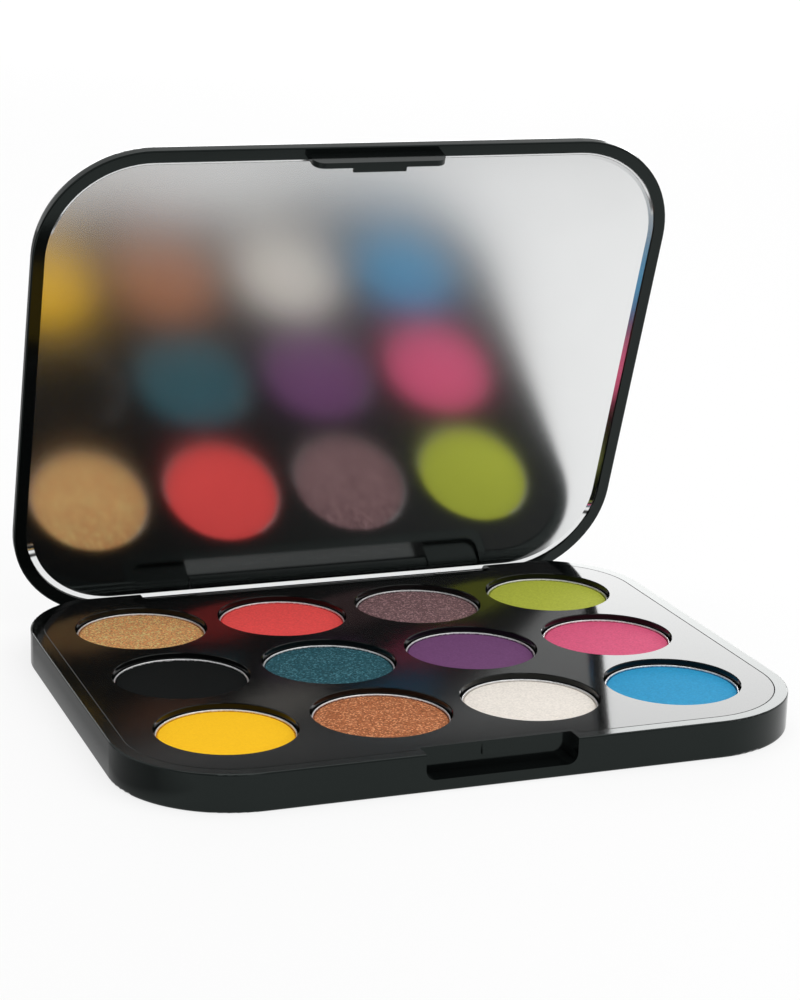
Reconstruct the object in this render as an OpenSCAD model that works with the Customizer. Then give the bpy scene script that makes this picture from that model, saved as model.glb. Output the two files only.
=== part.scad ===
// Twelve-pan eyeshadow palette with a hinged mirror lid.
// Origin: centre of the bottom face. X right, Y to the hinge side, Z up. All sizes in mm.

/* [Pans] */
// Outer diameter of a pan
pan_d = 26; // [24:0.5:28]
// Height of a pan
pan_h = 3.7; // [3:0.1:5]
// Sheet thickness of a pan
pan_t = 0.3; // [0.2:0.05:0.4]
// Depth of the powder surface below the pan rim
powder_drop = 0.3; // [0.1:0.05:0.6]
// Bevel round the powder surface
powder_bevel = 0.35; // [0.1:0.05:0.5]
// Thickness of a glue dot under a pan
glue_t = 0.15; // [0.1:0.05:0.3]
// Diameter of a glue dot
glue_d = 12; // [8:1:18]

/* [Tray] */
// Radial clearance of a pan in its hole
hole_clear = 0.25; // [0.15:0.05:0.4]
// Width of the tray between two neighbouring holes
hole_web = 3.5; // [2.6:0.1:6]
// Width of the tray between the outer holes and the side rims
side_web = 6.25; // [3:0.25:9]
// Width of the tray between the front holes and the latch wall
latch_web = 5.05; // [2:0.05:8]
// Width of the tray between the rear holes and the hinge wall
hinge_web = 1.85; // [1.2:0.05:5]
// Thickness of the tray's top skin
tray_t = 1.3; // [0.9:0.1:1.6]
// Wall thickness of the wells under the holes
well_t = 0.85; // [0.5:0.05:1]
// Thickness of the well floors
well_floor_t = 0.9; // [0.6:0.1:1.5]
// Depth of the pan rims below the tray's top
rim_drop = 1.15; // [0.6:0.05:1.8]
// Gap between the tray and the case rim
tray_clear = 0.08; // [0.05:0.01:0.15]
// Chamfer on the hole edges and along the parting line
edge_chamfer = 0.15; // [0.1:0.05:0.25]
// Diameter of a locating post under the tray
post_d = 3; // [2:0.25:3.5]
// Radial clearance of a post in its tube
post_clear = 0.1; // [0.05:0.05:0.15]
// Wall of a tube round a post
tube_t = 0.9; // [0.6:0.1:1.2]
// Length of a tube below the tray's top skin
tube_h = 2.5; // [1.5:0.25:3]

/* [Case] */
// Width of the rim round the tray and the mirror
rim_w = 2.5; // [2:0.1:3]
// Corner radius of the case
corner_r = 22.5; // [18:0.5:26]
// Thickness of the base's floor
floor_t = 1.4; // [1.2:0.1:2]
// Radius along the bottom edge
bottom_round = 0.5; // [0.3:0.1:0.8]
// Radius along the base's outer top edge
top_round = 0.3; // [0.2:0.05:0.4]

/* [Latch] */
// Width of the finger recess at the front
recess_w = 29.6; // [22:0.4:36]
// Depth of the recess from the front edge
recess_d = 3.6; // [3.4:0.1:4.5]
// Thickness of the recess floor
recess_floor_t = 2.3; // [1.8:0.1:2.6]
// Radius of the recess corners
recess_r = 2; // [1:0.25:2.5]
// Thickness of the wall behind the recess
latch_wall_t = 1.1; // [0.8:0.1:2]
// Corner radius of the parting line behind the recess
latch_corner_r = 0.8; // [0.4:0.1:1.2]
// Width of the catch bead
bead_w = 5.5; // [4:0.5:10]
// Height of the catch bead
bead_h = 2.2; // [1.8:0.1:2.4]
// How far the catch bead stands out
bead_out = 0.4; // [0.2:0.05:0.5]
// Depth of the catch bead below the tray's top
bead_drop = 0.3; // [0.2:0.05:0.5]
// Thickness of the lid's latch tongue
tongue_t = 1.2; // [0.8:0.1:1.4]
// Setback of the tongue behind the lid's front edge
tongue_set = 1.3; // [1:0.05:1.4]
// Length of the tongue below the lid's rim
tongue_h = 4.2; // [3.6:0.1:4.4]
// Side clearance of the tongue in the recess
tongue_clear = 1; // [0.6:0.1:2]
// Radius of the tongue's lower corners
tongue_r = 2.2; // [1:0.1:2.6]
// Clearance between the tongue's ridge and the bead
latch_clear = 0.3; // [0.2:0.05:0.35]

/* [Hinge] */
// Distance of the hinge axis from the back of the case
hinge_inset = 2.3; // [2.1:0.05:2.5]
// Depth of the hinge axis below the tray's top
hinge_drop = 2.8; // [2.6:0.05:3]
// Radius of the lid's barrel and of the base's ears
barrel_r = 1.8; // [1.5:0.05:2]
// Width of the lid's barrel
barrel_w = 54.4; // [44:0.4:62]
// Side clearance between the lid's barrel and the base's ears
barrel_clear = 0.3; // [0.2:0.05:0.5]
// Diameter of the hinge pins
pin_d = 1.5; // [1:0.1:1.6]
// Radial running clearance of the pins in the lid's barrel
pin_clear = 0.05; // [0.03:0.01:0.08]
// Length of a pin inside an ear
pin_in = 8; // [4:0.1:10]
// Length of a pin inside the lid's barrel
pin_out = 11.2; // [6:0.1:14]
// Width of the relief in the base's top at the hinge
notch_w = 79; // [70:1:82]
// Corner radius of the relief
notch_r = 2.2; // [1:0.2:3]
// Gap between the lid's barrel and the wall in front of it
notch_gap = 2.2; // [1:0.1:2.5]
// Thickness of the wall in front of the barrel
hinge_wall_t = 2.4; // [2:0.1:4]
// Width of the base's top beside the relief
notch_side_t = 1.9; // [1.2:0.1:2.2]
// Corner radius of the parting line at the hinge
hinge_corner_r = 2.5; // [1:0.25:3]
// Clearance between the hinge edge of the base and the swinging lid
swing_clear = 0.3; // [0.25:0.05:0.4]

/* [Lid] */
// Thickness of the lid
lid_t = 3.6; // [3.4:0.1:5]
// Radius along the lid's outer edge
lid_round = 2.2; // [1.6:0.1:2.4]
// Gap between the closed lid and the tray's top
lid_gap = 0.2; // [0.2:0.05:0.4]
// Opening angle of the lid
open_angle = 71.2; // [0:0.1:97]
// Overhang of the lid at the front and at the hinge side
lid_over = 0.9; // [0.5:0.1:1.1]
// Width of the lid's rim along the hinge
hinge_rim_w = 3.05; // [2.5:0.05:3.2]
// Thickness of the mirror
mirror_t = 1.3; // [1:0.1:1.5]
// Depth of the mirror's face below the lid's rim
mirror_drop = 0.3; // [0.1:0.05:0.5]
// Width of the bevel round the mirror's face
mirror_bevel = 1.2; // [0.6:0.1:2]
// Depth of the bevel at the mirror's edge
bevel_depth = 0.25; // [0.1:0.05:0.4]
// Gap between the mirror's edge and the lid
mirror_clear = 0.05; // [0.03:0.01:0.1]
// Thickness of the adhesive pad behind the mirror
tape_t = 0.2; // [0.1:0.05:0.3]
// Margin between the pad and the mirror's edge
tape_margin = 5; // [2:0.5:12]

/* [Hidden] */
$fn = 96;
over = 1;
columns = 4;
rows = 3;
shade = [
    ["yellow", "bronze", "ivory", "blue"],
    ["black", "teal", "purple", "pink"],
    ["tan", "red", "plum", "green"]
];
shade_color = [
    ["#ffc323", "#b46946", "#ebe6dc", "#41a0d2"],
    ["#191b1a", "#285f69", "#734173", "#de5f82"],
    ["#c38c55", "#cd4646", "#6e5055", "#a0aa41"]
];

pitch = pan_d + 2 * hole_clear + hole_web;
hole_r = pan_d / 2 + hole_clear;
well_r = hole_r + well_t;
powder_r = pan_d / 2 - pan_t;
notch_d = hinge_inset + barrel_r + notch_gap;
front_d = recess_d + latch_wall_t + latch_web;
back_d = notch_d + hinge_wall_t + hinge_web;
case_w = (columns - 1) * pitch + 2 * (hole_r + side_web + rim_w);
case_d = (rows - 1) * pitch + 2 * hole_r + front_d + back_d;
grid_y = (front_d - back_d) / 2;
inner_r = corner_r - rim_w;
inner_w = case_w - 2 * rim_w;
inner_d = case_d - 2 * rim_w;
front_y = -case_d / 2;
back_y = case_d / 2;

glue_z = floor_t + well_floor_t;
pan_z = glue_z + glue_t;
base_h = pan_z + pan_h + rim_drop;
skin_z = base_h - tray_t;

recess_y = front_y + recess_d;
bead_z = base_h - bead_drop;
tongue_y = front_y - lid_over + tongue_set;
tongue_half_w = recess_w / 2 - tongue_clear;
ridge_out = recess_d + lid_over - tongue_set - tongue_t - bead_out - latch_clear;
ridge_h = 0.6;
ridge_z = bead_z - bead_h - 0.2;

hinge_y = back_y - hinge_inset;
hinge_z = base_h - hinge_drop;
pin_r = pin_d / 2;
slot_x = barrel_w / 2 + barrel_clear;
pin_x0 = barrel_w / 2 - pin_out;
pin_x1 = slot_x + pin_in;
lid_z = base_h + lid_gap;
swing_r = hinge_drop + lid_gap - swing_clear;
notch_y = back_y - notch_d;

lid_d = case_d + 2 * lid_over;
arm_y = lid_d / 2 - hinge_rim_w + 0.1;
pocket_d = lid_d - rim_w - hinge_rim_w;
pocket_y = (rim_w - hinge_rim_w) / 2;
mirror_w = inner_w - 2 * mirror_clear;
mirror_d = pocket_d - 2 * mirror_clear;
mirror_r = inner_r - mirror_clear;
mirror_z = lid_z + mirror_drop;
tape_z = mirror_z + mirror_t;

// Place of one pan in the grid
function pan_place(i, j) = [
    (i - (columns - 1) / 2) * pitch,
    (j - (rows - 1) / 2) * pitch + grid_y,
    0
];

// What a radius r takes off a square corner that points to +x and +y
module corner_waste(r) {
    difference() {
        square(r + over);
        circle(r);
    }
}

// Edge section of a slab: x runs from the corner's centre to x1, with rounded outer corners
module slab_section(x1, z0, z1, low_r, high_r) {
    difference() {
        translate([0, z0]) square([x1, z1 - z0]);
        if (low_r > 0)
            translate([x1 - low_r, z0 + low_r]) mirror([0, 1]) corner_waste(low_r);
        if (high_r > 0)
            translate([x1 - high_r, z1 - high_r]) corner_waste(high_r);
    }
}

// Slab with rounded corners; the child is its edge section
module slab(w, d, r, z0, z1) {
    translate([r - w / 2, r - d / 2, z0]) cube([w - 2 * r, d - 2 * r, z1 - z0]);
    for (side = [0:3]) {
        long = side % 2 == 0 ? d - 2 * r : w - 2 * r;
        out = side % 2 == 0 ? w / 2 - r : d / 2 - r;
        rotate([0, 0, 90 * side]) translate([out, 0, 0]) {
            rotate([90, 0, 0]) linear_extrude(height = long, center = true) children();
            translate([0, long / 2, 0]) rotate_extrude(angle = 90) children();
        }
    }
}

// Slab with square edges
module plain_slab(w, d, r, z0, z1) {
    slab(w, d, r, z0, z1) slab_section(r, z0, z1, 0, 0);
}

// Outline of a block that grows from an edge towards +y, with the two inner corners rounded
module tab_outline(half_w, depth, r) {
    translate([-half_w, -over]) square([2 * half_w, depth + over - r]);
    translate([r - half_w, 0]) square([2 * (half_w - r), depth]);
    for (s = [-1, 1])
        translate([s * (half_w - r), depth - r]) circle(r);
}

// Outline of the wall behind the latch recess, grown by a gap
module latch_wall_outline(gap) {
    translate([0, front_y])
        tab_outline(recess_w / 2 + latch_wall_t + gap, recess_d + latch_wall_t + gap, latch_corner_r + gap);
}

// Outline of the base's top round the hinge relief, grown by a gap
module hinge_wall_outline(gap) {
    translate([0, back_y]) mirror([0, 1])
        tab_outline(notch_w / 2 + notch_side_t + gap, notch_d + hinge_wall_t + gap, hinge_corner_r + gap);
}

// Room for the tray: the inside of the rim without the latch and hinge walls
module tray_room(gap, z0, z1) {
    difference() {
        plain_slab(inner_w - 2 * gap, inner_d - 2 * gap, inner_r - gap, z0, z1);
        translate([0, 0, z0 - over]) linear_extrude(height = z1 - z0 + 2 * over) {
            latch_wall_outline(gap);
            hinge_wall_outline(gap);
        }
    }
}

// Sloping waste that chamfers the tray's outline along the rim
module tray_edge_waste(gap) {
    c = edge_chamfer;
    difference() {
        plain_slab(inner_w + 2 * over, inner_d + 2 * over, inner_r + over, base_h - c, base_h + over);
        slab(inner_w - 2 * gap, inner_d - 2 * gap, inner_r - gap, base_h - c - over, base_h + 2 * over)
            polygon([
                [0, base_h - c - over],
                [inner_r - gap, base_h - c - over],
                [inner_r - gap, base_h - c],
                [inner_r - gap - c, base_h],
                [inner_r - gap - c, base_h + 2 * over],
                [0, base_h + 2 * over]
            ]);
    }
}

// Recess at the front, open to the front and the top, with rounded lower corners
module latch_recess() {
    half_w = recess_w / 2;
    translate([0, recess_y, 0]) rotate([90, 0, 0]) linear_extrude(height = recess_d + over) {
        translate([-half_w, recess_floor_t + recess_r]) square([recess_w, base_h]);
        translate([recess_r - half_w, recess_floor_t]) square([recess_w - 2 * recess_r, base_h]);
        for (s = [-1, 1])
            translate([s * (half_w - recess_r), recess_floor_t + recess_r]) circle(recess_r);
    }
}

// Catch bead on the recess wall: sloped above, undercut below
module catch_bead() {
    translate([-bead_w / 2, recess_y, bead_z]) rotate([90, 0, 90]) linear_extrude(height = bead_w)
        polygon([
            [over / 2, 0],
            [0, 0],
            [-bead_out, -bead_h * 0.7],
            [-bead_out, -bead_h],
            [over / 2, -bead_h]
        ]);
}

// Round bar along the hinge axis from x0 to x1
module hinge_bar(r, x0, x1) {
    translate([x0, hinge_y, hinge_z]) rotate([0, 90, 0]) cylinder(r = r, h = x1 - x0);
}

// Slot at the back for the lid's barrel, open to the back, the top and the bottom
module hinge_slot() {
    translate([-slot_x, notch_y, -over]) cube([2 * slot_x, notch_d + over, base_h + 2 * over]);
}

// Relief of the base's top, down to the ears beside the slot
module hinge_relief() {
    translate([0, back_y, hinge_z + barrel_r]) linear_extrude(height = base_h) mirror([0, 1])
        tab_outline(notch_w / 2, notch_d, notch_r);
}

// Bores for the two pins, from x0 outwards to x1
module pin_bores(r, x0, x1) {
    for (s = [0, 1])
        mirror([s, 0, 0]) hinge_bar(r, x0, x1);
}

// Waste behind the hinge axis that rounds the base's rear top edge about that axis
module swing_waste(half_w, r) {
    difference() {
        translate([-half_w, hinge_y, hinge_z]) cube([2 * half_w, hinge_inset + over, hinge_drop + over]);
        hinge_bar(r, -half_w - over, half_w + over);
    }
}

module base_shell() {
    color("#151616") {
        difference() {
            slab(case_w, case_d, corner_r, 0, base_h)
                slab_section(corner_r, 0, base_h, bottom_round, top_round);
            tray_room(0, floor_t, base_h + over);
            latch_recess();
            hinge_slot();
            hinge_relief();
            swing_waste(case_w / 2, swing_r);
            swing_waste(notch_w / 2, barrel_r);
            pin_bores(pin_r, slot_x - over, pin_x1);
        }
        catch_bead();
        for (i = [-1:1], s = [-0.5, 0.5])
            translate([i * pitch, grid_y + s * pitch, floor_t / 2])
                cylinder(d = post_d, h = skin_z - post_clear - floor_t / 2);
    }
}

module tray_plate() {
    color("#1a1b1b") difference() {
        union() {
            tray_room(tray_clear, skin_z, base_h);
            for (j = [0:rows - 1], i = [0:columns - 1])
                translate(pan_place(i, j) + [0, 0, floor_t]) cylinder(r = well_r, h = skin_z - floor_t + over / 2);
            for (i = [-1:1], s = [-0.5, 0.5])
                translate([i * pitch, grid_y + s * pitch, skin_z - tube_h])
                    cylinder(d = post_d + 2 * (post_clear + tube_t), h = tube_h + over / 2);
        }
        tray_edge_waste(tray_clear);
        for (j = [0:rows - 1], i = [0:columns - 1])
            translate(pan_place(i, j)) {
                translate([0, 0, glue_z]) cylinder(r = hole_r, h = base_h);
                translate([0, 0, base_h - edge_chamfer])
                    cylinder(r1 = hole_r, r2 = hole_r + 2 * edge_chamfer, h = 2 * edge_chamfer);
            }
        for (i = [-1:1], s = [-0.5, 0.5])
            translate([i * pitch, grid_y + s * pitch, skin_z - tube_h - over])
                cylinder(d = post_d + 2 * post_clear, h = tube_h + over);
    }
}

// One pan: a shallow cup with a rounded bottom edge and a round rim
module pan(i, j) {
    r = pan_d / 2;
    bend = 3 * pan_t;
    color("#c9cbcc") translate(pan_place(i, j) + [0, 0, pan_z]) difference() {
        rotate_extrude() {
            slab_section(r, 0, pan_h - pan_t / 2, bend, 0);
            translate([r - pan_t / 2, pan_h - pan_t / 2]) circle(d = pan_t, $fn = 24);
        }
        translate([0, 0, pan_t]) rotate_extrude() slab_section(powder_r, 0, pan_h, bend - pan_t, 0);
    }
}

// The pressed powder in one pan
module powder(i, j) {
    bend = 2 * pan_t;
    h = pan_h - pan_t - powder_drop;
    color(shade_color[j][i]) translate(pan_place(i, j) + [0, 0, pan_z + pan_t]) rotate_extrude()
        difference() {
            slab_section(powder_r, 0, h, bend, 0);
            translate([powder_r, h]) rotate(45)
                square(powder_bevel * sqrt(2), center = true);
        }
}

module pan_glue() {
    color("#d8d4c4")
        for (j = [0:rows - 1], i = [0:columns - 1])
            translate(pan_place(i, j) + [0, 0, glue_z]) cylinder(d = glue_d, h = glue_t);
}

// Latch tongue under the lid's front rim, with the ridge that passes the bead
module latch_tongue() {
    low_z = lid_z - tongue_h;
    translate([0, tongue_y + tongue_t, 0]) rotate([90, 0, 0]) linear_extrude(height = tongue_t) {
        translate([-tongue_half_w, low_z + tongue_r]) square([2 * tongue_half_w, tongue_h - tongue_r + over / 2]);
        translate([tongue_r - tongue_half_w, low_z]) square([2 * (tongue_half_w - tongue_r), tongue_h]);
        for (s = [-1, 1])
            translate([s * (tongue_half_w - tongue_r), low_z + tongue_r]) circle(tongue_r);
    }
    translate([-bead_w, tongue_y + tongue_t - over / 2, ridge_z - ridge_h])
        cube([2 * bead_w, over / 2 + ridge_out, ridge_h]);
}

// The lid's barrel and the arm that carries it, bored for a pin at each end
module lid_barrel() {
    half_w = barrel_w / 2;
    difference() {
        union() {
            hinge_bar(barrel_r, -half_w, half_w);
            translate([-half_w, arm_y, hinge_z])
                cube([barrel_w, hinge_y + barrel_r - arm_y, lid_z - hinge_z + over / 2]);
        }
        pin_bores(pin_r + pin_clear, pin_x0 - barrel_clear, half_w + over);
    }
}

// Turns its children about the hinge from closed to the opening angle
module opened() {
    translate([0, hinge_y, hinge_z]) rotate([-open_angle, 0, 0]) translate([0, -hinge_y, -hinge_z]) children();
}

module lid_shell() {
    color("#151616") opened() {
        difference() {
            slab(case_w, lid_d, corner_r, lid_z, lid_z + lid_t)
                slab_section(corner_r, lid_z, lid_z + lid_t, top_round, lid_round);
            translate([0, pocket_y, 0]) plain_slab(inner_w, pocket_d, inner_r, lid_z - over, tape_z + tape_t);
        }
        latch_tongue();
        lid_barrel();
    }
}

module mirror_glass() {
    color("#dfe3e4") opened() translate([0, pocket_y, 0])
        slab(mirror_w, mirror_d, mirror_r, mirror_z, tape_z)
            polygon([
                [0, mirror_z],
                [mirror_r - mirror_bevel, mirror_z],
                [mirror_r, mirror_z + bevel_depth],
                [mirror_r, tape_z],
                [0, tape_z]
            ]);
}

module mirror_tape() {
    inset = 2 * tape_margin;
    color("#e6e6e2") opened() translate([0, pocket_y, 0])
        plain_slab(mirror_w - inset, mirror_d - inset, mirror_r - tape_margin, tape_z, tape_z + tape_t);
}

module hinge_pin(x0) {
    color("#b4b6b8") hinge_bar(pin_r, x0, x0 + pin_x1 - pin_x0);
}

base_shell();
tray_plate();
for (j = [0:rows - 1], i = [0:columns - 1]) {
    pan(i, j);
    powder(i, j);
}
pan_glue();
lid_shell();
mirror_glass();  // mirror
mirror_tape();
hinge_pin(-pin_x1);  // hinge_pin_left
hinge_pin(pin_x0);  // hinge_pin_right
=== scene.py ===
"""Twelve-pan eyeshadow palette: looks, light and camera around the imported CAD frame."""
import math

import bpy
from mathutils import Matrix, Vector


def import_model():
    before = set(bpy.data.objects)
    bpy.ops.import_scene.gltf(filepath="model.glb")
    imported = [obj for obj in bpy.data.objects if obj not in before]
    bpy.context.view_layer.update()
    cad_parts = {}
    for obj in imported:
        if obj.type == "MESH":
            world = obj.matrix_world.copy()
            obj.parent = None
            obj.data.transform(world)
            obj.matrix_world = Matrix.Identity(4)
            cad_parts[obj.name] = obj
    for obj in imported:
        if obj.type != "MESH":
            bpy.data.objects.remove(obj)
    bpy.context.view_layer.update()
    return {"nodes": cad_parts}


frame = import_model()
nodes = frame["nodes"]


# ---------------------------------------------------------------- node helpers

class Tree:
    """A material or world node tree with short calls for adding and linking nodes."""

    def __init__(self, owner):
        owner.use_nodes = True
        self.nodes = owner.node_tree.nodes
        self.links = owner.node_tree.links
        self.nodes.clear()

    def add(self, kind, inputs=None, **settings):
        node = self.nodes.new(kind)
        for name, value in settings.items():
            setattr(node, name, value)
        for key, value in (inputs or {}).items():
            if isinstance(value, bpy.types.NodeSocket):
                self.links.new(value, node.inputs[key])
            else:
                node.inputs[key].default_value = value
        return node

    def math(self, operation, a, b, clamp=False):
        return self.add("ShaderNodeMath", {0: a, 1: b}, operation=operation, use_clamp=clamp).outputs[0]

    def vector(self, operation, a, b=(0, 0, 0), out="Vector"):
        return self.add("ShaderNodeVectorMath", {0: a, 1: b}, operation=operation).outputs[out]

    def scaled(self, a, factor):
        made = self.add("ShaderNodeVectorMath", {0: a, "Scale": factor}, operation="SCALE")
        return made.outputs["Vector"]

    def dot(self, a, b):
        return self.vector("DOT_PRODUCT", a, b, "Value")

    def place(self):
        return self.add("ShaderNodeTexCoord").outputs["Object"]

    def split(self, vector):
        """The X, Y and Z of a vector."""
        return self.add("ShaderNodeSeparateXYZ", {"Vector": vector}).outputs

    def noise(self, vector, size, detail=2.0, rough=0.5):
        """Noise with features of about this size, in metres."""
        return self.add("ShaderNodeTexNoise", {"Vector": vector, "Scale": 1.0 / size, "Detail": detail,
                                               "Roughness": rough}).outputs["Fac"]

    def ramp(self, value, low, high, out_low=0.0, out_high=1.0):
        return self.add("ShaderNodeMapRange", {"Value": value, "From Min": low, "From Max": high,
                                               "To Min": out_low, "To Max": out_high}).outputs["Result"]

    def spread(self, noise, out_low=0.0, out_high=1.0):
        """A noise over this range, as its own values lie mostly between 0.3 and 0.7."""
        return self.ramp(noise, 0.3, 0.7, out_low, out_high)

    def band(self, value, start, full, fade, end):
        """1 from full to fade, falling to 0 at start and at end."""
        return self.math("MINIMUM", self.ramp(value, start, full), self.ramp(value, end, fade))

    def mix(self, factor, a, b):
        """Two colours mixed: inputs 6 and 7 and output 2 are the node's colour sockets."""
        return self.add("ShaderNodeMix", {0: factor, 6: a, 7: b}, data_type="RGBA").outputs[2]

    def bump(self, height, distance):
        return self.add("ShaderNodeBump", {"Height": height, "Distance": distance}).outputs["Normal"]

    def shader(self, **inputs):
        names = {k.replace("_", " "): v for k, v in inputs.items()}
        return self.add("ShaderNodeBsdfPrincipled", names).outputs["BSDF"]

    def output(self, surface):
        self.add("ShaderNodeOutputMaterial", {"Surface": surface})


def linear(r, g, b):
    """An sRGB colour of 0 to 255 as linear RGBA."""
    out = []
    for v in (r / 255, g / 255, b / 255):
        out.append(v / 12.92 if v <= 0.04045 else ((v + 0.055) / 1.055) ** 2.4)
    return (*out, 1.0)


def material(name):
    made = bpy.data.materials.new(name)
    return made, Tree(made)


def dress(node, made):
    """Gives every material slot of a CAD node this material."""
    data = nodes[node].data
    if not data.materials:
        data.materials.append(made)
    for i in range(len(data.materials)):
        data.materials[i] = made


# ---------------------------------------------------------------- plastic of the case and the tray

# Size of the flow marks, in metres, how much they lighten the colour, in levels of 255, and how far the
# roughness follows them, as a share of itself
FLOW_SIZE = 0.03
FLOW_LEVELS = 3
FLOW_SHARE = 0.15
# Size and height of the fine grain, in metres, and how far the roughness follows it
FINE_SIZE = 0.0004
FINE_HEIGHT = 0.0000012
FINE_ROUGH = 0.01


def black_plastic(name, colour, roughness, ior, tint):
    """Polished moulded plastic: black, with faint flow marks and a very fine grain."""
    made, t = material(name)
    place = t.place()
    flow = t.noise(place, FLOW_SIZE, 3.0)
    fine = t.noise(place, FINE_SIZE, 2.0)
    tone = t.mix(t.spread(flow), linear(*colour), linear(*(v + FLOW_LEVELS for v in colour)))
    rough = t.math("ADD", t.spread(flow, roughness * (1 - FLOW_SHARE), roughness * (1 + FLOW_SHARE)),
                   t.spread(fine, -FINE_ROUGH, FINE_ROUGH))
    t.output(t.shader(Base_Color=tone, Roughness=rough, IOR=ior, Specular_Tint=tint,
                      Normal=t.bump(fine, FINE_HEIGHT)))
    return made


case = black_plastic("case_black", (7, 9, 9), 0.10, 1.34, (0.84, 1.0, 0.95, 1.0))
tray = black_plastic("tray_black", (7, 8, 8), 0.08, 1.3, (0.95, 1.0, 0.97, 1.0))
for name in ("base_shell", "lid_shell"):
    dress(name, case)
dress("tray_plate", tray)

# ---------------------------------------------------------------- pans and their pressed powders

# Height of the pans' rims above the ground, and the radius of a pan, in metres
RIM_TOP = 0.00615
PAN_RADIUS = 0.013
# Pigment covers a pan's wall up to this far below its rim and out to this far inside its radius, and
# its edge is this soft and wanders by this much
DUST_BELOW = 0.0003
DUST_INSIDE = 0.0002
DUST_FADE = 0.0001
DUST_WANDER = 0.0001
# The pigment on the wall is this much of the powder's colour
DUST_SHADE = 0.75
# Size and height of the specks in the metal, in metres
SPECK_SIZE = 0.0005
SPECK_HEIGHT = 0.00003


def pan_metal(name, colour):
    """Bright pan metal, with pigment left on the inner wall under the rim."""
    made, t = material("pan_" + name)
    place = t.place()
    speck = t.noise(place, SPECK_SIZE, 3.0, 0.6)
    corners = [Vector(v) for v in nodes["pan_" + name].bound_box]
    centre = sum(corners, Vector()) / len(corners)
    flat = t.vector("MULTIPLY", t.vector("SUBTRACT", place, centre), (1, 1, 0))
    radius = t.vector("LENGTH", flat, out="Value")
    level = t.math("ADD", t.split(place)["Z"], t.spread(speck, -DUST_WANDER, DUST_WANDER))
    dust_top = RIM_TOP - DUST_BELOW
    dust_radius = PAN_RADIUS - DUST_INSIDE
    clean = t.math("MAXIMUM", t.ramp(level, dust_top, dust_top + DUST_FADE),
                   t.ramp(radius, dust_radius, dust_radius + DUST_FADE))
    sheet = t.mix(t.ramp(speck, 0.35, 0.65), linear(214, 215, 216), linear(250, 250, 250))
    tone = t.mix(clean, linear(*(v * DUST_SHADE for v in colour)), sheet)
    t.output(t.shader(Base_Color=tone, Metallic=t.math("MULTIPLY", clean, 0.5),
                      Roughness=t.ramp(clean, 0.0, 1.0, 0.8, 0.25), Normal=t.bump(speck, SPECK_HEIGHT)))
    return made


# Size of the grain and height of its bumps, in metres; how far its grains differ from the colour;
# strength of the glints; roughness
POWDERS = {
    "matte": (0.0004, 0.00003, 0.03, 0.0, 0.95),
    "satin": (0.0004, 0.00003, 0.07, 0.03, 0.8),
    "shimmer": (0.00035, 0.00006, 0.4, 0.8, 0.6),
}
# Size of the faint clouds in a powder, in metres, and how strong they are
CLOUD_SIZE = 0.004
CLOUD_SHARE = 0.12
# Size of a mica flake, in metres. Its random value decides how it glints: from the first not at all, from
# the second in full. Its metal is this strong
FLAKE_SIZE = 0.0003
GLINT_FROM = 0.72
GLINT_FULL = 0.92
GLINT_METAL = 0.8


def pressed_powder(name, colour, kind):
    """Pressed pigment: matte, satin, or shimmer with mica flakes."""
    made, t = material("powder_" + name)
    grain_size, grain_height, contrast, sparkle, rough = POWDERS[kind]
    place = t.place()
    grain = t.noise(place, grain_size, 2.0, 0.6)
    cloud = t.noise(place, CLOUD_SIZE, 2.0)
    dark = linear(*(v * (1 - contrast) for v in colour))
    light = linear(*(min(255, v * (1 + contrast / 2) + 10 * contrast) for v in colour))
    tone = t.mix(t.spread(grain), dark, light)
    tone = t.mix(t.spread(cloud, 0.0, CLOUD_SHARE), tone, light)
    flakes = t.add("ShaderNodeTexVoronoi", {"Vector": place, "Scale": 1 / FLAKE_SIZE}).outputs["Color"]
    pick = t.add("ShaderNodeSeparateColor", {"Color": flakes}).outputs["Red"]
    glint = t.math("MULTIPLY", t.ramp(pick, GLINT_FROM, GLINT_FULL), sparkle, clamp=True)
    bright = linear(*(min(255, v * 1.4 + 50) for v in colour))
    tone = t.mix(glint, tone, bright)
    t.output(t.shader(Base_Color=tone, Roughness=rough, Metallic=t.math("MULTIPLY", glint, GLINT_METAL),
                      Specular_IOR_Level=0.1, Normal=t.bump(grain, grain_height)))
    return made


SHADES = {
    "yellow": ((255, 196, 36), "matte"), "bronze": ((163, 97, 61), "shimmer"),
    "ivory": ((236, 229, 220), "satin"), "blue": ((46, 148, 195), "satin"),
    "black": ((17, 19, 19), "matte"), "teal": ((33, 76, 86), "shimmer"),
    "purple": ((111, 70, 112), "satin"), "pink": ((217, 90, 126), "satin"),
    "tan": ((211, 147, 92), "shimmer"), "red": ((243, 84, 82), "satin"),
    "plum": ((113, 85, 87), "shimmer"), "green": ((179, 187, 69), "satin"),
}
for shade, (colour, kind) in SHADES.items():
    dress("pan_" + shade, pan_metal(shade, colour))
    dress("powder_" + shade, pressed_powder(shade, colour, kind))

# ---------------------------------------------------------------- mirror

# Opening angle of the lid at rest, and how far the mirror's normal is turned from it, in degrees
LID_ANGLE = 71.2
MIRROR_TILT = -1.3
# A point on the hinge's axis, and the height of the mirror's flat face above it, in metres
HINGE = (0.0, 0.0511, 0.0045)
MIRROR_FACE = -0.0033
# At the top only the facet's outer part is bent, from the first of these depths below the flat face and in
# full from the second, in metres
EDGE_DEPTHS = (0.00013, 0.00016)
# Slopes of the facet at the hinge side, top and right at which its bend starts and is full, and how far
# its normal is then bent: up the lid at the hinge side and the top, and to the left at the right
BOTTOM_SLOPES = (-0.03, -0.08)
TOP_SLOPES = (0.05, 0.12)
RIGHT_SLOPES = (0.0, 0.2)
BOTTOM_LIFT = 0.98
TOP_LIFT = 0.5
RIGHT_BEND = -0.38
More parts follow.
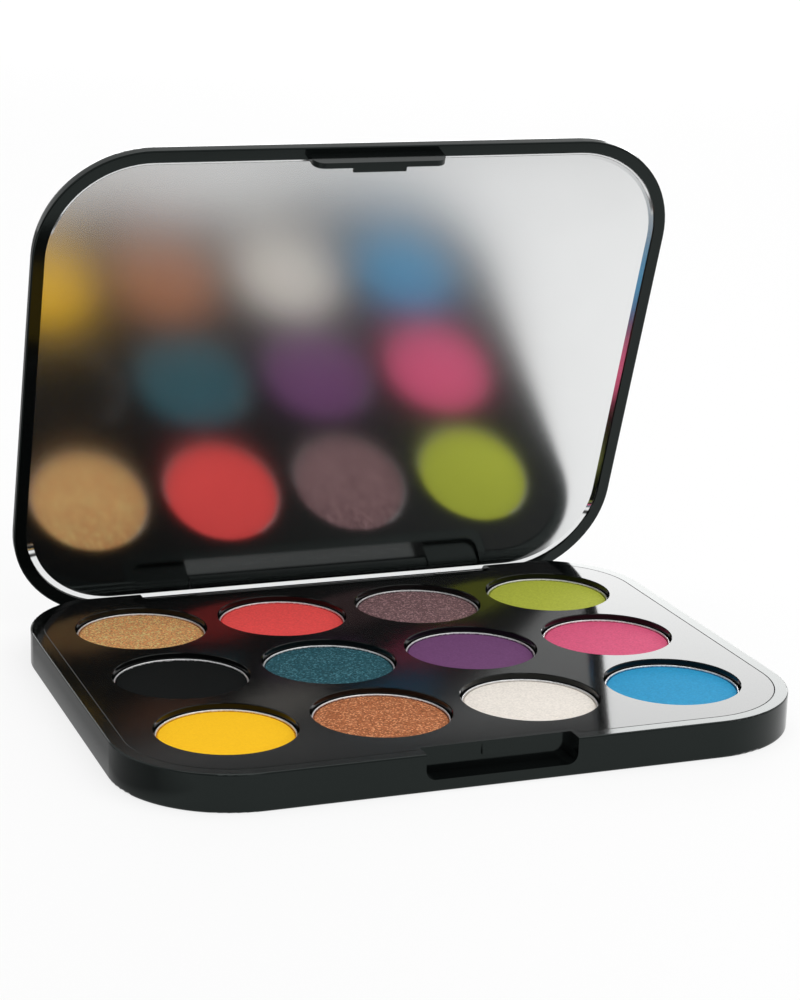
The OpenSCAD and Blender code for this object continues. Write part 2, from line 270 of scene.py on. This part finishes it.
# The reflection's blur grows between these heights above the ground, in metres, from the first roughness to
# the second, and the haze changes it a little
BLUR_HEIGHTS = (0.02, 0.09)
BLUR = (0.13, 0.23)
HAZE_SIZE = 0.02
HAZE_BLUR = 0.004


def mirror_material():
    """Silvered mirror. The facet at its edge is seen through the glass, so it bends the other way."""
    made, t = material("mirror")
    coord = t.add("ShaderNodeTexCoord")
    place = coord.outputs["Object"]
    turn = math.radians(LID_ANGLE)
    tilt = math.radians(LID_ANGLE + MIRROR_TILT)
    face = (0.0, -math.sin(turn), -math.cos(turn))
    aim = (0.0, -math.sin(tilt), -math.cos(tilt))
    rise = (0.0, -math.cos(turn), math.sin(turn))
    normal = coord.outputs["Normal"]
    side = t.vector("SUBTRACT", normal, t.scaled(face, t.dot(normal, face)))
    up = t.dot(side, rise)
    depth = t.math("SUBTRACT", MIRROR_FACE, t.dot(t.vector("SUBTRACT", place, HINGE), face))
    top = t.math("MULTIPLY", t.ramp(up, *TOP_SLOPES, 0.0, TOP_LIFT), t.ramp(depth, *EDGE_DEPTHS))
    lift = t.math("MAXIMUM", t.ramp(up, *BOTTOM_SLOPES, 0.0, BOTTOM_LIFT), top)
    lifted = t.vector("ADD", aim, t.scaled(rise, lift))
    inward = t.scaled((1.0, 0.0, 0.0), t.ramp(t.split(side)["X"], *RIGHT_SLOPES, 0.0, RIGHT_BEND))
    bent = t.vector("NORMALIZE", t.vector("ADD", lifted, inward))
    world = t.add("ShaderNodeVectorTransform", {"Vector": bent}, vector_type="NORMAL",
                  convert_from="OBJECT", convert_to="WORLD").outputs["Vector"]
    haze = t.noise(place, HAZE_SIZE, 3.0)
    tone = t.mix(haze, linear(229, 230, 230), linear(237, 238, 238))
    rough = t.math("ADD", t.ramp(t.split(place)["Z"], *BLUR_HEIGHTS, *BLUR),
                   t.spread(haze, -HAZE_BLUR, HAZE_BLUR))
    t.output(t.shader(Base_Color=tone, Metallic=1.0, Roughness=rough, Normal=world))
    return made


dress("mirror", mirror_material())

# ---------------------------------------------------------------- hidden pieces

# Height of the grain as a share of its size, and how dark its hollows are painted, as painted shade
GRAIN_RISE = 0.05
HOLLOW_SHADE = 0.92


def plain(name, colour, rough, size, metallic=0.0):
    """A plain finish with a little grain of this size, in metres, and painted shade in the grain's hollows.
    """
    made, t = material(name)
    grain = t.noise(t.place(), size, 2.0)
    # Painted shade: the grain's hollows are darker than its tops
    tone = t.mix(grain, linear(*(v * HOLLOW_SHADE for v in colour)), linear(*colour))
    t.output(t.shader(Base_Color=tone, Roughness=rough, Metallic=metallic,
                      Normal=t.bump(grain, size * GRAIN_RISE)))
    return made


dress("pan_glue", plain("glue", (216, 212, 196), 0.35, 0.002))
dress("mirror_tape", plain("tape", (230, 230, 226), 0.9, 0.0006))
steel = plain("pin_steel", (188, 190, 192), 0.3, 0.0005, 1.0)
for name in ("hinge_pin_left", "hinge_pin_right"):
    dress(name, steel)

# ---------------------------------------------------------------- floor

# Half the floor's width, and how far it lies under the palette, in metres
FLOOR_REACH = 30.0
FLOOR_DROP = 0.00005
# Painted reflections on the floor, which only the gloss sees: a painted dark area in front of the palette,
# a painted shadow at its left by this share, and painted light, a white glow, under the hinge's slot. Front
# and slot are bands of Y with soft ends, and the left starts softly in X and Y, in metres
FRONT_PAINTED_DARK = (-0.5, -0.35, -0.095, -0.08)
LEFT_PAINTED_SHADOW_X = (-0.064, -0.07)
LEFT_PAINTED_SHADOW_Y = (-0.06, -0.04)
LEFT_SHADOW_SHARE = 0.75
SLOT_PAINTED_LIGHT = (0.044, 0.046, 0.0545, 0.056)
# Brightness of the painted dark and shaded floor, where the rest of it has 1
PAINTED_DARK_GLOW = 0.08
# Share of this brightness that the camera sees, that the gloss sees, and that it sees in the painted dark,
# shaded and lit areas, the rest being lit paper
CAMERA_SHARE = 0.8
GLOSS_SHARE = 0.7
PAINTED_AREA_SHARE = 0.97


def floor():
    """White paper that keeps the palette's shadow. Only the gloss sees its painted dark front, painted
    shadow at the left and painted light under the hinge's slot.
    """
    size = FLOOR_REACH
    corners = [(-size, -size, 0), (size, -size, 0), (size, size, 0), (-size, size, 0)]
    mesh = bpy.data.meshes.new("floor")
    mesh.from_pydata(corners, [], [(0, 1, 2, 3)])
    made = bpy.data.objects.new("floor", mesh)
    bpy.context.scene.collection.objects.link(made)
    made.location.z = -FLOOR_DROP
    look, t = material("floor")
    path = t.add("ShaderNodeLightPath").outputs
    paper = t.shader(Base_Color=(0.85, 0.85, 0.85, 1), Roughness=0.9, Specular_IOR_Level=0.1)
    at = t.split(t.place())
    # Painted shadow at the left and painted dark in front, which only glossy rays see
    left = t.math("MINIMUM", t.ramp(at["X"], *LEFT_PAINTED_SHADOW_X, 0.0, LEFT_SHADOW_SHARE),
                  t.ramp(at["Y"], *LEFT_PAINTED_SHADOW_Y))
    dark = t.math("MULTIPLY", t.math("MAXIMUM", t.band(at["Y"], *FRONT_PAINTED_DARK), left),
                  path["Is Glossy Ray"])
    glow_with_painted_dark = t.ramp(dark, 0.0, 1.0, 1.0, PAINTED_DARK_GLOW)
    # The floor's glow: even white for the camera, and darkened by the painted areas for the gloss
    white = t.add("ShaderNodeEmission", {"Color": (1, 1, 1, 1), "Strength": glow_with_painted_dark}).outputs[0]
    # Painted light: the floor under the hinge's slot glows white for the gloss
    painted_areas = t.math("MAXIMUM", dark, t.band(at["Y"], *SLOT_PAINTED_LIGHT))
    gloss_share = t.ramp(painted_areas, 0.0, 1.0, GLOSS_SHARE, PAINTED_AREA_SHARE)
    seen = t.math("ADD", t.math("MULTIPLY", path["Is Camera Ray"], CAMERA_SHARE),
                  t.math("MULTIPLY", path["Is Glossy Ray"], gloss_share))
    t.output(t.add("ShaderNodeMixShader", {0: seen, 1: paper, 2: white}).outputs[0])
    mesh.materials.append(look)


# ---------------------------------------------------------------- world

# Brightness of the surroundings as a light
WORLD_LIGHT = 0.45
# What the gloss mirrors is told by the X, Y and Z of a ray's direction. The back is white, from where the
# dark front ends between these values of Y
BACK_Y = (-0.3, 0.3)
# White near the ground and in a band above it, by Z
LOW_Z = (0.24, 0.14)
BAND_Z = (0.38, 0.42, 0.61, 0.66)
# Brightness of the rest of the front at the left and at the right, changing between these values of X
FRONT_GLOW = 0.06
FRONT_RIGHT_GLOW = 1.3
FRONT_X = (0.22, 0.42)
# That brightness has this share of itself below the first of these values of Z, and is full from the second
FRONT_Z = (0.45, 0.6)
FRONT_LOW_SHARE = 0.3


def world():
    """White behind the palette, and a front that the gloss mirrors in bands."""
    made = bpy.data.worlds.new("studio")
    bpy.context.scene.world = made
    t = Tree(made)
    path = t.add("ShaderNodeLightPath").outputs
    seen = t.math("MAXIMUM", path["Is Camera Ray"],
                  t.math("MAXIMUM", path["Is Glossy Ray"], path["Is Transmission Ray"]))
    side = t.split(t.add("ShaderNodeTexCoord").outputs["Generated"])
    low = t.math("MAXIMUM", t.ramp(side["Z"], *LOW_Z), t.band(side["Z"], *BAND_Z))
    high = t.math("MULTIPLY", t.ramp(side["X"], *FRONT_X, FRONT_GLOW, FRONT_RIGHT_GLOW),
                  t.ramp(side["Z"], *FRONT_Z, FRONT_LOW_SHARE, 1.0))
    mirrored = t.math("MAXIMUM", t.ramp(side["Y"], *BACK_Y), t.math("MAXIMUM", low, high))
    strength = t.math("MAXIMUM", t.ramp(seen, 0.0, 1.0, WORLD_LIGHT, 0.0),
                      t.math("MAXIMUM", t.math("MULTIPLY", seen, mirrored), path["Is Camera Ray"]))
    back = t.add("ShaderNodeBackground", {"Color": (1, 1, 1, 1), "Strength": strength}).outputs[0]
    t.add("ShaderNodeOutputWorld", {"Surface": back})


# ---------------------------------------------------------------- lights


def softbox(name, place, target, width, height, radiance):
    """A soft light of this radiance, aimed at a point and left out of the camera's own view."""
    data = bpy.data.lights.new(name, "AREA")
    data.shape = "RECTANGLE"
    data.size = width
    data.size_y = height
    data.energy = radiance * math.pi * width * height
    made = bpy.data.objects.new(name, data)
    bpy.context.scene.collection.objects.link(made)
    made.location = place
    made.rotation_euler = (Vector(target) - Vector(place)).to_track_quat("-Z", "Y").to_euler()
    made.visible_camera = False
    return made


floor()
world()
softbox("top", (0.1, 0.1, 1.1), (0, 0, 0), 1.0, 1.0, 1.2)
# The mirror and the gloss see the world's own glow in front instead of this light
front = softbox("front", (0.45, -0.75, 0.95), (0, 0, 0), 1.5, 1.5, 1.5)
front.visible_glossy = False
softbox("back", (0.95, 2.3, 0.72), (0, 0, 0.05), 2.6, 1.1, 4.2)

# ---------------------------------------------------------------- camera

# Turn about Z, downward pitch and roll of the view, in radians, and the camera's place, in metres
AZIMUTH = 0.36444
PITCH = 0.26835
ROLL = 0.02671
CAMERA_PLACE = (-0.16867, -0.43995, 0.16841)
# Focal length and height of the image in pixels, and the sensor's size along that height in millimetres
FOCAL_PIXELS = 2502.9
IMAGE_HEIGHT = 1000
SENSOR = 36.0


def camera():
    """The photograph's camera."""
    ahead = Vector((
        math.sin(AZIMUTH) * math.cos(PITCH),
        math.cos(AZIMUTH) * math.cos(PITCH),
        -math.sin(PITCH),
    ))
    level = Vector((math.cos(AZIMUTH), -math.sin(AZIMUTH), 0))
    upright = level.cross(ahead)
    right = level * math.cos(ROLL) + upright * math.sin(ROLL)
    up = upright * math.cos(ROLL) - level * math.sin(ROLL)
    data = bpy.data.cameras.new("camera")
    data.sensor_width = SENSOR
    data.lens = FOCAL_PIXELS * SENSOR / IMAGE_HEIGHT
    data.clip_start = 0.01
    made = bpy.data.objects.new("camera", data)
    bpy.context.scene.collection.objects.link(made)
    facing = Matrix((right, up, -ahead)).transposed().to_4x4()
    made.matrix_world = Matrix.Translation(CAMERA_PLACE) @ facing
    bpy.context.scene.camera = made


camera()
bpy.context.scene.view_settings.view_transform = "Standard"
